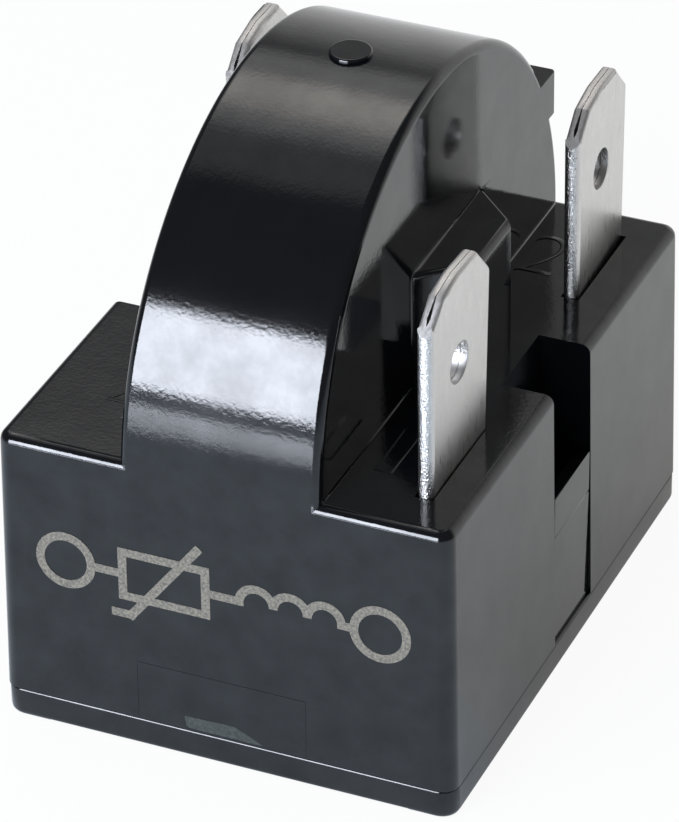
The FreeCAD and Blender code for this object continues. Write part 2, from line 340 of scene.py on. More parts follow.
def turn_outwards() -> None:
    """Point all faces of the mesh in edit mode outwards."""
    bpy.ops.mesh.select_all(action="SELECT")
    bpy.ops.mesh.normals_make_consistent(inside=False)


def combine(body: Solid, others: Iterable[Solid], how: Join) -> Solid:
    """Combine a solid with others, which are used up.

    Args:
        body: Solid that is kept.
        others: Solids that are added to it or cut from it.
        how: Kind of combination.

    Returns:
        The solid that is kept.
    """
    for other in others:
        only(body)
        modifier = body.modifiers.new(how.name, "BOOLEAN")
        modifier.operation = how.value
        modifier.solver = "EXACT"
        modifier.object = other
        bpy.ops.object.modifier_apply(modifier=modifier.name)
        bpy.data.objects.remove(other)
    return body


def copy_mirrored(solid: Solid) -> Solid:
    """Copy a solid to the other side of the middle plane.

    Args:
        solid: Solid that is kept where it is.

    Returns:
        The copy, with its own mesh.
    """
    only(solid)
    bpy.ops.object.duplicate(linked=False)
    twin = bpy.context.object
    twin.scale.x = -1
    apply_place(twin)
    with editing(twin):
        turn_outwards()
    return twin


def both_sides(solid: Solid) -> list[Solid]:
    """Return a solid's mirrored copy and the solid."""
    return [copy_mirrored(solid), solid]


def count_open_edges(solid: Solid) -> int:
    """Count the edges that don't join exactly two faces.

    Args:
        solid: Finished solid.

    Returns:
        How many such edges it has.
    """
    mesh = bmesh.new()
    mesh.from_mesh(solid.data)
    count = sum(1 for edge in mesh.edges if len(edge.link_faces) != 2)
    mesh.free()
    return count


def wear(piece: Solid, material: Material) -> None:
    """Give a piece one material."""
    piece.data.materials.clear()
    piece.data.materials.append(material)


def finish_piece(
    piece: Solid, name: str, material: Material, replaced: str | None = None
) -> None:
    """Turn a piece to metres, smooth and dress it and set it on the frame.

    Args:
        piece: Piece made in millimetres.
        name: Name that it gets.
        material: What it is made of.
        replaced: CAD node that it stands for.
    """
    piece.name = name
    piece.scale = (MM, MM, MM)
    apply_place(piece)
    bpy.ops.object.shade_smooth_by_angle(angle=math.radians(32.0))
    weighted = piece.modifiers.new("even shading", "WEIGHTED_NORMAL")
    weighted.keep_sharp = True
    bpy.ops.object.modifier_apply(modifier=weighted.name)
    wear(piece, material)
    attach(piece, "root")
    if replaced:
        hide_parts(replaced)
    faces, open_edges = len(piece.data.polygons), count_open_edges(piece)
    LOG.info("%s: %d faces, %d open edges, %s", name, faces, open_edges, material.name)


# Finishes. Sizes of patterns are those of the real surface, in millimetres.


def linear(hex_colour: str) -> Colour:
    """Turn an sRGB hex value into linear colour.

    Args:
        hex_colour: Colour such as "#0b0c0e".

    Returns:
        Linear red, green and blue, and an alpha of 1.
    """
    channels = [int(hex_colour[i : i + 2], 16) / 255 for i in (1, 3, 5)]
    values = [c / 12.92 if c <= 0.04045 else ((c + 0.055) / 1.055) ** 2.4 for c in channels]
    return (values[0], values[1], values[2], 1.0)


def per(size_mm: float) -> float:
    """Scale of a pattern whose features have a size."""
    return 1 / (size_mm * MM)


def around(value: float, swing: float) -> Pair:
    """Lowest and highest value for a share of swing about a middle one."""
    return value * (1 - swing), value * (1 + swing)


def add_node(
    tree: Tree,
    kind: str,
    inputs: Mapping[str | int, object] | Sequence[object] = (),
    **settings: object,
) -> Node:
    """Add a node with its settings, values and links.

    Args:
        tree: Node tree that gets the node.
        kind: Type of the node, without the leading "ShaderNode".
        inputs: Values, sockets or nodes, by the inputs' names or in their order.
            A node stands for the first output that it has in use.
        settings: Properties of the node itself.

    Returns:
        The new node.
    """
    node = tree.nodes.new("ShaderNode" + kind)
    for name, value in settings.items():
        setattr(node, name, value)
    for key, value in inputs.items() if isinstance(inputs, Mapping) else enumerate(inputs):
        if isinstance(value, Node):
            value = next(socket for socket in value.outputs if socket.enabled)
        if isinstance(value, Socket):
            tree.links.new(value, node.inputs[key])
        else:
            node.inputs[key].default_value = value
    return node


@dataclass(frozen=True)
class Finish:
    """Material of the real piece, with the surface that its making left."""

    name: str

    def build(self) -> Material:
        """Make the material."""
        material = bpy.data.materials.new(self.name)
        material.use_nodes = True
        tree = material.node_tree
        tree.nodes.clear()
        place = add_node(tree, "TexCoord").outputs["Object"]
        add_node(tree, "OutputMaterial", {"Surface": self.surface(tree, place)})
        return material

    def surface(self, tree: Tree, place: Socket) -> Node:
        """Build the shader in the material's tree, on object coordinates."""
        raise NotImplementedError


@dataclass(frozen=True)
class MouldedPlastic(Finish):
    """Black glass-filled thermoplastic, injection moulded in a polished tool."""

    # The polish gives the eye sharp reflections that grow towards grazing
    # angles, and brighter, calmer ones on the side walls. The fibres under the
    # skin break their edges up into fine speckle, the skin's slow sinking
    # bends them, and the melt's flow leaves the sheen faintly cloudy.
    name: str = "polished black moulded plastic"
    colour: str = "#0b0c0f"
    roughness: float = 0.10
    roughness_swing: float = 0.15
    ior: float = 1.5
    fibre_mm: float = 0.2
    fibre_height_mm: float = 0.0058
    sink_mm: float = 3.5
    sink_height_mm: float = 0.006
    side_facing: Pair = (0.8, 0.98)
    side_polish: float = 0.4
    cloud_mm: float = 2.4
    cloud_span: Pair = (0.35, 0.65)
    cloud_sheen: Pair = (0.43, 0.57)

    def surface(self, tree: Tree, place: Socket) -> Node:
        """Build the shader.

        Args:
            tree: Tree of the material.
            place: Object coordinates.

        Returns:
            The shader.
        """
        fibre = add_node(
            tree,
            "TexNoise",
            {"Vector": place, "Scale": per(self.fibre_mm), "Detail": 3.0, "Roughness": 0.6},
        )
        sink = add_node(
            tree, "TexNoise", {"Vector": place, "Scale": per(self.sink_mm), "Detail": 1.0}
        )
        cloud = add_node(
            tree,
            "TexNoise",
            {"Vector": place, "Scale": per(self.cloud_mm), "Detail": 5.0, "Roughness": 0.65},
        )
        normal = add_node(tree, "TexCoord").outputs["Normal"]
        across = add_node(tree, "SeparateXYZ", [normal]).outputs["X"]
        side = add_node(tree, "Math", [across], operation="ABSOLUTE")
        grade = add_node(tree, "MapRange", [side, *self.side_facing, 1.0, self.side_polish])
        sunk = add_node(tree, "Bump", {"Height": sink, "Distance": self.sink_height_mm * MM})
        bump = {
            "Height": fibre,
            "Distance": self.fibre_height_mm * MM,
            "Strength": grade,
            "Normal": sunk,
        }
        roughness = around(self.roughness, self.roughness_swing)
        gloss = add_node(tree, "MapRange", [sink, *NOISE_SPAN, *roughness])
        sheen = add_node(tree, "MapRange", [cloud, *self.cloud_span, *self.cloud_sheen])
        look = {
            "Base Color": linear(self.colour),
            "Roughness": add_node(tree, "Math", [gloss, grade], operation="MULTIPLY"),
            "Specular IOR Level": sheen,
            "IOR": self.ior,
            "Normal": add_node(tree, "Bump", bump),
        }
        return add_node(tree, "BsdfPrincipled", look)


@dataclass(frozen=True)
class EtchedPlastic(Finish):
    """Plastic skin that was broken up: foamed by a laser, or torn at a trimmed gate."""

    # The broken skin has lost its gloss, and reads as a matt, finely specked
    # tone on the shiny wall.
    name: str = "laser-foamed plastic skin"
    colour: str = "#857d72"
    dark_colour: str = "#4f4c47"
    speck_mm: float = 0.14
    speck_span: Pair = (0.35, 0.62)
    speck_height_mm: float = 0.01
    roughness: float = 0.75

    def surface(self, tree: Tree, place: Socket) -> Node:
        """Build the shader.

        Args:
            tree: Tree of the material.
            place: Object coordinates.

        Returns:
            The shader.
        """
        speck = add_node(
            tree,
            "TexNoise",
            {"Vector": place, "Scale": per(self.speck_mm), "Detail": 3.0, "Roughness": 0.7},
        )
        share = add_node(tree, "MapRange", [speck, *self.speck_span])
        tones = {"Factor": share, "A": linear(self.dark_colour), "B": linear(self.colour)}
        bump = {"Height": speck, "Distance": self.speck_height_mm * MM}
        look = {
            "Base Color": add_node(tree, "Mix", tones, data_type="RGBA"),
            "Roughness": self.roughness,
            "Normal": add_node(tree, "Bump", bump),
        }
        return add_node(tree, "BsdfPrincipled", look)


@dataclass(frozen=True)
class SheetMetal(Finish):
    """Rolled strip, plain or plated, that was sheared and folded."""

    # Rolling leaves the eye a soft satin with a faint grain and slow clouds.
    # Folds that face forwards are crinkled and sparkle, because the plating
    # cracked there, and sheared edges that look up are duller.
    colour: str
    dark_colour: str
    roughness: float = 0.32
    roughness_swing: float = 0.2
    grain_mm: Point = (0.12, 0.12, 1.2)
    grain_height_mm: float = 0.0008
    cloud_mm: float = 1.6
    crinkle_mm: float = 0.1
    crinkle_height_mm: float = 0.06
    crinkle_roughness: float = -0.04
    crinkle_forward: Pair = (-0.3, -0.75)
    crinkle_upright: Pair = (0.4, 0.1)
    shear_roughness: float = 0.18
    shear_facing: Pair = (0.15, 0.5)

    def surface(self, tree: Tree, place: Socket) -> Node:
        """Build the shader.

        Args:
            tree: Tree of the material.
            place: Object coordinates.

        Returns:
            The shader.
        """
        grains = tuple(per(size) for size in self.grain_mm)
        drawn = add_node(tree, "Mapping", {"Vector": place, "Scale": grains})
        grain = add_node(tree, "TexNoise", {"Vector": drawn, "Scale": 1.0, "Detail": 3.0})
        cloud = add_node(
            tree, "TexNoise", {"Vector": place, "Scale": per(self.cloud_mm), "Detail": 4.0}
        )
        crinkle = add_node(
            tree, "TexNoise", {"Vector": place, "Scale": per(self.crinkle_mm), "Detail": 2.0}
        )
        tones = {"Factor": cloud, "A": linear(self.dark_colour), "B": linear(self.colour)}
        normal = add_node(tree, "TexCoord").outputs["Normal"]
        facing = add_node(tree, "SeparateXYZ", [normal]).outputs
        forward = add_node(tree, "MapRange", [facing["Y"], *self.crinkle_forward])
        upright = add_node(tree, "MapRange", [facing["Z"], *self.crinkle_upright])
        folded = add_node(tree, "Math", [forward, upright], operation="MULTIPLY")
        cracked = add_node(
            tree,
            "Bump",
            {"Height": crinkle, "Distance": self.crinkle_height_mm * MM, "Strength": folded},
        )
        bump = {"Height": grain, "Distance": self.grain_height_mm * MM, "Normal": cracked}
        roughness = around(self.roughness, self.roughness_swing)
        gloss = add_node(tree, "MapRange", [grain, *NOISE_SPAN, *roughness])
        sheared = add_node(tree, "MapRange", [facing["Z"], *self.shear_facing])
        for share, change in (
            (folded, self.crinkle_roughness),
            (sheared, self.shear_roughness),
        ):
            gloss = add_node(tree, "Math", [share, change, gloss], operation="MULTIPLY_ADD")
        look = {
            "Base Color": add_node(tree, "Mix", tones, data_type="RGBA"),
            "Metallic": 1.0,
            "Roughness": gloss,
            "Normal": add_node(tree, "Bump", bump),
        }
        return add_node(tree, "BsdfPrincipled", look)


@dataclass(frozen=True)
class SilveredCeramic(Finish):
    """Pressed and fired thermistor ceramic whose round faces carry fired silver."""

    # The rim is a dull dark stone, and the faces are a gritty, greyish silver.
    name: str = "silvered thermistor ceramic"
    colour: str = "#4a423c"
    silver: str = "#b9b6ae"
    face_mm: float = 1.28
    grit_mm: float = 0.2
    grit_height_mm: float = 0.004
    roughness: float = 0.5

    def surface(self, tree: Tree, place: Socket) -> Node:
        """Build the shader.

        Args:
            tree: Tree of the material.
            place: Object coordinates.

        Returns:
            The shader.
        """
        across = add_node(tree, "SeparateXYZ", [place]).outputs["X"]
        depth = add_node(tree, "Math", [across], operation="ABSOLUTE")
        plated = add_node(tree, "Math", [depth, self.face_mm * MM], operation="GREATER_THAN")
        grit = add_node(
            tree, "TexNoise", {"Vector": place, "Scale": per(self.grit_mm), "Detail": 4.0}
        )
        tones = {"Factor": plated, "A": linear(self.colour), "B": linear(self.silver)}
        bump = {"Height": grit, "Distance": self.grit_height_mm * MM}
        look = {
            "Base Color": add_node(tree, "Mix", tones, data_type="RGBA"),
            "Metallic": plated,
            "Roughness": self.roughness,
            "Normal": add_node(tree, "Bump", bump),
        }
        return add_node(tree, "BsdfPrincipled", look)


@dataclass(frozen=True)
class CardOnTable(Finish):
    """Matt white card under the relay, on a polished white table."""

    # The camera sees one pale floor with a soft shadow. Gloss on the relay
    # mirrors the card in three bands of painted light: a bluish tint at the front
    # and brighter, whiter bands behind stand in for the light that the front
    # softbox throws on the card. Further off, the table mirrors the dim room at low angles.
    name: str = "matt card on glossy white table"
    seen: float = 0.93
    mirrored: float = 0.35
    white: float = 0.79
    # Painted light in reflections: bluish at the front of the card, brighter further back.
    painted_light_front_tint: Colour = (1.04, 1.14, 1.26, 1.0)
    painted_light_bands: tuple[tuple[float, float, Colour], ...] = (
        (-18.0, -2.0, (1.0, 1.0, 0.99, 1.0)),
        (-2.0, 28.0, (1.25, 1.25, 1.23, 1.0)),
    )
    edge_mm: Pair = (60.0, 70.0)
    table_ior: float = 1.5
    table_roughness: float = 0.06

    def surface(self, tree: Tree, place: Socket) -> Node:
        """Build the shader.

        Args:
            tree: Tree of the material.
            place: Object coordinates.

        Returns:
            The shader.
        """
        rays = add_node(tree, "LightPath").outputs
        camera, glossy = rays["Is Camera Ray"], rays["Is Glossy Ray"]
        seen = add_node(tree, "Math", [camera, self.seen], operation="MULTIPLY")
        clear = rays["Is Transmission Ray"]
        mirror = add_node(tree, "Math", [glossy, clear], operation="MAXIMUM")
        glow = add_node(tree, "Math", [mirror, self.mirrored, seen], operation="MULTIPLY_ADD")
        along = add_node(tree, "SeparateXYZ", [place]).outputs["Y"]
        # Painted light: for reflected rays the card's colour runs from a bluish front tint to
        # brighter bands behind, standing in for the front softbox lighting the card.
        tint = self.painted_light_front_tint
        for start, end, colour in self.painted_light_bands:
            reach = add_node(tree, "MapRange", [along, start * MM, end * MM])
            mix = {"Factor": reach, "A": tint, "B": colour}
            tint = add_node(tree, "Mix", mix, data_type="RGBA")
        tone = add_node(tree, "Mix", {"Factor": glossy, "A": WHITE, "B": tint}, data_type="RGBA")
        white = add_node(tree, "VectorMath", {0: tone, "Scale": self.white}, operation="SCALE")
        paper = add_node(tree, "BsdfDiffuse", [white])
        light = add_node(tree, "Emission", [tone, 1.0])
        card = add_node(tree, "MixShader", [glow, paper, light])
        away = add_node(tree, "VectorMath", [place], operation="LENGTH")
        beyond = add_node(tree, "MapRange", [away, *(edge * MM for edge in self.edge_mm)])
        fresnel = add_node(tree, "Fresnel", {"IOR": self.table_ior})
        shine = add_node(tree, "Math", [fresnel, beyond], operation="MULTIPLY")
        shine = add_node(tree, "Math", [shine, glossy], operation="MULTIPLY")
        table = add_node(
            tree, "BsdfAnisotropic", {"Color": WHITE, "Roughness": self.table_roughness}
        )
        return add_node(tree, "MixShader", [shine, card, table])


# Pieces of the relay


def lay_on_front(mark: Solid, proud: float, height: float = 0.0) -> Solid:
    """Lean a mark on the drafted front of the housing.

    Args:
        mark: Mark whose outer side is the plane y = 0.
        proud: How far it stands out of the face.
        height: How far it is raised.

    Returns:
        The mark in its place.
    """
    mark.rotation_euler.x = -BLOCK.draft
    lean = (BLOCK.top - height) * BLOCK.slope
    mark.location = (0, BLOCK.front_y - lean - proud, height)
    return apply_place(mark)


@dataclass
class GateScar:
    """Frosted scar low on the front, where the sprue was trimmed off."""

    material: Material
    corners: tuple[Pair, ...] = ((-1.95, 1.72), (2.0, 1.7), (0.5, 2.42), (-2.1, 2.36))
    sunk: float = 0.004
    depth: float = 0.046
    corner: float = 0.12

    def block(self, grown: float = 0.0) -> Solid:
        """Model the scar's outline, as a block that ends at y = depth.

        Args:
            grown: How much wider it is made all round.

        Returns:
            The block, which stands out far enough to cut with when it is grown.
        """
        front = -PAST if grown else 0.0
        block = add_box("scar_block", (-1, front, -1), (1, self.depth, 1))
        squares = [(-1, -1), (1, -1), (1, 1), (-1, 1)]
        with editing(block):
            for (x, z), (to_x, to_z) in zip(squares, self.corners):
                pick_points(
                    block, lambda p, x=x, z=z: abs(p.x - x) < NEAR and abs(p.z - z) < NEAR
                )
                shift((to_x - x + grown * x, 0, to_z - z + grown * z))
            pick_edges(block, lambda a, b: abs(a.y - b.y) > self.depth / 2)
            round_off(self.corner, 3)
        return block

    def build(self) -> None:
        """Model the scar and lay it in its pocket."""
        scar = lay_on_front(self.block(), -self.sunk)
        finish_piece(scar, "gate_scar", self.material)


@dataclass
class HousingShell:
    """Moulded housing: block, half-round hump, bosses, channels and slots.

    Its right side is the one of the positive x. What both sides have is
    modelled on the right and mirrored.
    """

    material: Material
    scar: GateScar
    rear_y: float = 14.78
    bottom: float = 1.6
    corner: float = 0.75
    edge: float = 0.46
    root: float = 0.09
    flat_angle: float = math.radians(0.2)
    hump_right: float = 4.95
    hump_left: float = 5.05
    hump_lean: float = math.tan(math.radians(2.6))
    hump_radius: float = 14.5988
    tangent_z: float = 15.891
    hump_facets: int = 288
    wall: float = 1.5
    hump_wall: float = 1.75
    hump_room_facets: int = 192
    rib_half: Pair = (0.8, 3.5)
    rib_low: float = 25.8
    boss_reach: float = 2.45
    boss_front: float = 4.1
    boss_rear: float = 4.4
    boss_face: float = 4.0
    boss_top: float = 21.75
    boss_sunk: Pair = (0.8, 0.75)
    boss_root: float = 0.13
    boss_rounding: float = 0.34
    boss_front_bevel: float = 0.3
    boss_rear_bevel: float = 0.1
    boss_wall: float = 1.3
    boss_room_start: float = 1.0
    boss_room_half: float = 1.75
    pip_x: float = 0.28
    pip_radius: float = 1.02
    pip_rise: float = 0.2
    pip_edge: float = 0.1
    lug_y: Pair = (11.0, 14.3)
    lug_z: Pair = (20.9, 23.2)
    lug_corner: float = 0.25
    lug_edge: float = 0.06
    channel_width: float = 4.7
    channel_floor: float = 8.7
    channel_wall: float = 1.1
    catch_top: float = 7.6
    catch_depth: float = 1.2
    slot_half: Pair = (0.46, 3.18)
    slots: tuple[Pair, ...] = ((9.0, -8.95), (8.86, 9.45), (-8.65, 9.45))
    witness: tuple[float, float, float, float] = (-4.4, 4.15, 1.75, 4.85)
    witness_line: float = 0.06
    witness_depth: float = 0.015
    scar_gap: float = 0.01

    def build(self) -> None:
        """Model the whole housing."""
        shell = self.outer_form()
        boss = self.boss()
        combine(shell, [boss, copy_mirrored(boss), self.pip(), self.lug()], Join.ADD)
        with editing(shell):
            pick_edges(shell, self.is_boss_root)
            round_off(self.boss_root, 3)
        rooms = [self.room(), self.hump_room(), *self.boss_rooms()]
        openings = [*self.channels(), *self.tab_slots()]
        pocket = self.scar.block(self.scar_gap)
        marks = [*self.witness_lines(), lay_on_front(pocket, -self.scar.sunk)]
        combine(shell, [*rooms, *openings, *marks], Join.CUT)
        finish_piece(shell, "housing_shell", self.material, "housing")

    def on_flat(self, p: Vector) -> bool:
        """Whether a point is on a flat of the hump."""
        left = -self.hump_left + (p.z - BLOCK.top) * self.hump_lean
        return abs(p.x - self.hump_right) < NEAR or abs(p.x - left) < NEAR

    def is_boss_root(self, a: Vector, b: Vector) -> bool:
        """Tell an edge where a boss grows out of a flat of the hump.

        Args:
            a: One end of the edge.
            b: Its other end.

        Returns:
            Whether it is such an edge.
        """
        reach = max(self.boss_front, self.boss_rear) + NEAR
        beside = max(abs(a.y - BLOCK.side_y), abs(b.y - BLOCK.side_y)) < reach
        low, high = min(a.z, b.z), max(a.z, b.z)
        raised = low > BLOCK.top + self.root - NEAR and high < self.boss_top + NEAR
        return beside and raised and self.on_flat(a) and self.on_flat(b)

    def outer_form(self) -> Solid:
        """Push the block and the hump out of one side outline."""
        shell = add_shape(
            bpy.ops.mesh.primitive_circle_add,
            "side_outline",
            vertices=self.hump_facets,
            radius=self.hump_radius,
            fill_type="NGON",
            location=(-self.hump_left, 0, BLOCK.top),
            rotation=Axis.X.turn,
        )
        lean_out = (BLOCK.top - self.bottom) * BLOCK.slope
        tangent_y = -self.hump_radius * math.cos(BLOCK.draft)
        hump_foot = self.tangent_z + NEAR
        with editing(shell):
            slice_off((0, 0, self.tangent_z), DOWN, fill=False)
            pick_points(shell, lambda p: p.y > NEAR)
            stretch((1, self.rear_y / -tangent_y, 1), (0, 0, 0))
            pick_edges(shell, lambda a, b: max(a.z, b.z) < hump_foot)
            push_out((0, 0, self.bottom - self.tangent_z))
            pick_points(shell, lambda p: p.z < self.bottom + NEAR and p.y < 0)
            shift((0, BLOCK.front_y - lean_out - tangent_y, 0))
            bpy.ops.mesh.select_all(action="SELECT")
            push_out((self.hump_left + self.hump_right, 0, 0))
            score((0, 0, BLOCK.top), UP)
            slice_off((-self.hump_left, 0, BLOCK.top), (-1, 0, self.hump_lean))
            self.push_side(shell, 1, BLOCK.width / 2 - self.hump_right, lean_out)
            self.push_side(shell, -1, BLOCK.width / 2 - self.hump_left, lean_out)
            turn_outwards()
            bpy.ops.mesh.dissolve_limited(angle_limit=self.flat_angle)
            self.round_edges(shell)
        return shell

    def push_side(self, shell: Solid, side: int, reach: float, lean_out: float) -> None:
        """Push one side of the block out from the hump.

        Args:
            shell: Housing in edit mode.
            side: 1 for the right and -1 for the left.
            reach: How far the block stands beside the hump.
            lean_out: How much wider the block is at its foot.
        """
        wall_x = BLOCK.width / 2 - NEAR
        pick_faces(shell, lambda p, n: n.x * side > FACING and p.z < BLOCK.top)
        push_out((side * reach, 0, 0))
        pick_points(shell, lambda p: p.x * side > wall_x and p.z < self.bottom + NEAR)
        shift((side * lean_out, 0, 0))

    def round_edges(self, shell: Solid) -> None:
        """Round the uprights, the rims and the top edges, then the roots of the hump.

        Args:
            shell: Housing in edit mode.
        """
        half = BLOCK.width / 2

        def upright(a: Vector, b: Vector) -> bool:
            """Whether an edge is one of the four uprights."""
            return min(abs(a.x), abs(b.x)) > half - NEAR and abs(a.z - b.z) > BLOCK.top / 2

        def outline(a: Vector, b: Vector) -> bool:
            """Tell the rims of the hump and the top edges of the block.

            Args:
                a: One end of an edge.
                b: Its other end.

            Returns:
                Whether it is one of these.
            """
            if min(a.z, b.z) < BLOCK.top - NEAR:
                return False
            if max(a.z, b.z) > BLOCK.top + NEAR:
                return self.on_flat(a) and self.on_flat(b) and abs(a.x - b.x) < LONG
            inset = self.corner + NEAR
            at_end = a.y * b.y > 0 and min(abs(a.y), abs(b.y)) > -BLOCK.front_y - inset
            at_side = min(abs(a.x), abs(b.x)) > half - inset
            return a.x * b.x > 0 and (at_end or at_side)

        def root(a: Vector, b: Vector) -> bool:
            """Whether an edge is where a flat of the hump meets the block."""
            level = max(abs(a.z - BLOCK.top), abs(b.z - BLOCK.top)) < NEAR
            return level and self.on_flat(a) and self.on_flat(b) and abs(a.y - b.y) > LONG

        for test, radius, segments in (
            (upright, self.corner, 6),
            (outline, self.edge, 5),
            (root, self.root, 3),
        ):
            pick_edges(shell, test)
            round_off(radius, segments)

    def boss(self) -> Solid:
        """Model the right boss with its slanted ends."""
        sunk_x, sunk_z = self.boss_sunk
        low = (self.hump_right - sunk_x, BLOCK.side_y - self.boss_front, BLOCK.top - sunk_z)
        high = (self.hump_right, BLOCK.side_y + self.boss_rear, self.boss_top)
        boss = add_box("boss", low, high)
        face_x = self.hump_right + self.boss_reach
        narrow = self.boss_face / (self.boss_front + self.boss_rear)

        def along(a: Vector, b: Vector) -> bool:
            """Whether an edge lies in the top and runs out from the hump."""
            return min(a.z, b.z) > self.boss_top - NEAR and abs(a.x - b.x) > LONG

        def outer(a: Vector, b: Vector) -> bool:
            """Whether an edge lies in the top and in the outer face."""
            return min(a.z, b.z) > self.boss_top - NEAR and min(a.x, b.x) > face_x - NEAR

        with editing(boss):
            pick_side(boss, RIGHT)
            push_out((self.boss_reach, (self.boss_front - self.boss_rear) / 2, 0))
            stretch((1, narrow, 1), (face_x, BLOCK.side_y, 0))
            pick_edges(boss, outer)
            round_off(self.boss_rounding, 5)
            pick_edges(boss, lambda a, b: along(a, b) and a.y < BLOCK.side_y)
            round_off(self.boss_front_bevel, 4)
            pick_edges(boss, lambda a, b: along(a, b) and a.y > BLOCK.side_y)
            round_off(self.boss_rear_bevel, 3)
        return boss

    def pip(self) -> Solid:
        """Model the low round pip on the crown."""
        base = (self.pip_x, BLOCK.side_y, BLOCK.top + self.hump_radius - PAST)
        pip = add_rod("pip", base, self.pip_radius, PAST + self.pip_rise, Axis.Z, 64)
        with editing(pip):
            pick_side(pip, UP)
            round_off(self.pip_edge, 3)
        return pip

    def lug(self) -> Solid:
        """Model the bar across the back of the hump."""
        (front, rear), (low, high) = self.lug_y, self.lug_z
        left = (high - BLOCK.top) * self.hump_lean - self.hump_left
        lug = add_box("lug", (left, front, low), (self.hump_right, rear, high))
        with editing(lug):
            pick_edges(lug, lambda a, b: min(a.y, b.y) > rear - NEAR and abs(a.z - b.z) > LONG)
            round_off(self.lug_corner, 4)
            pick_side(lug, UP)
            round_off(self.lug_edge, 2)
        return lug

    def witness_lines(self) -> list[Solid]:
        """Model the hairlines that an insert of the mould left in the front."""
        left, right, low, high = self.witness
        half = self.witness_line / 2
        lines = []
        for x0, x1, z0, z1 in (
            (left, left, low, high),
            (right, right, low, high),
            (left, right, high, high),
        ):
            line = add_box("witness", (x0 - half, -PAST, z0 - half), (x1 + half, 0, z1 + half))
            lines.append(lay_on_front(line, -self.witness_depth))
        return lines

    def room(self) -> Solid:
        """Model the hollow of the block, which leaves the channel walls standing."""
        inner_x = BLOCK.width / 2 - self.wall
        inner_y = -BLOCK.front_y - self.wall
        roof = BLOCK.top - self.wall
        room = add_box("room", (-inner_x, -inner_y, 0), (inner_x, inner_y, roof))
        half = self.channel_width / 2 + self.channel_wall
        low = (self.channel_floor - self.channel_wall, BLOCK.side_y - half, -PAST)
        wall = add_box("channel_wall", low, (BLOCK.width, BLOCK.side_y + half, BLOCK.top))
        return combine(room, both_sides(wall), Join.CUT)

    def hump_room(self) -> Solid:
        """Model the hollow of the hump for the disc and its springs."""
        left = self.hump_left - self.hump_wall
        length = left + self.hump_right - self.hump_wall
        radius = self.hump_radius - self.wall
        base = (-left, 0, BLOCK.top)
        room = add_rod("hump_room", base, radius, length, Axis.X, self.hump_room_facets)
        with editing(room):
            slice_off((0, 0, BLOCK.top), DOWN)
            pick_side(room, DOWN)
            push_out((0, 0, -2 * self.wall))
        x, y = self.rib_half
        high = (x, y, BLOCK.top + self.hump_radius)
        return combine(room, [add_box("stop_rib", (-x, -y, self.rib_low), high)], Join.CUT)

    def boss_rooms(self) -> list[Solid]:
        """Model the hollows of the two bosses for the free ends of the springs."""
        reach = self.hump_right + self.boss_reach - self.boss_wall
        half = self.boss_room_half
        low = (self.boss_room_start, BLOCK.side_y - half, BLOCK.top - 2 * self.wall)
        high = (reach, BLOCK.side_y + half, self.boss_top - self.boss_wall)
        return both_sides(add_box("boss_room", low, high))

    def channels(self) -> list[Solid]:
        """Model the open side channels, with the catches for the latch arms."""
        half = self.channel_width / 2
        low = (self.channel_floor, BLOCK.side_y - half, self.catch_top)
        high = (BLOCK.width, BLOCK.side_y + half, BLOCK.top + PAST)
        channel = add_box("channel", low, high)
        catch_x = self.channel_floor + self.catch_depth
        with editing(channel):
            score((catch_x, 0, 0), RIGHT)
            pick_faces(channel, lambda p, n: n.z < -FACING and p.x > catch_x)
            push_out((0, 0, -self.catch_top))
        return both_sides(channel)

    def tab_slots(self) -> list[Solid]:
        """Model the slots in the roof for the folded tabs."""
        half_x, half_y = self.slot_half
        low, high = BLOCK.top - 2 * self.wall, BLOCK.top + PAST
        return [
            add_box("slot", (x - half_x, y - half_y, low), (x + half_x, y + half_y, high))
            for x, y in self.slots
        ]


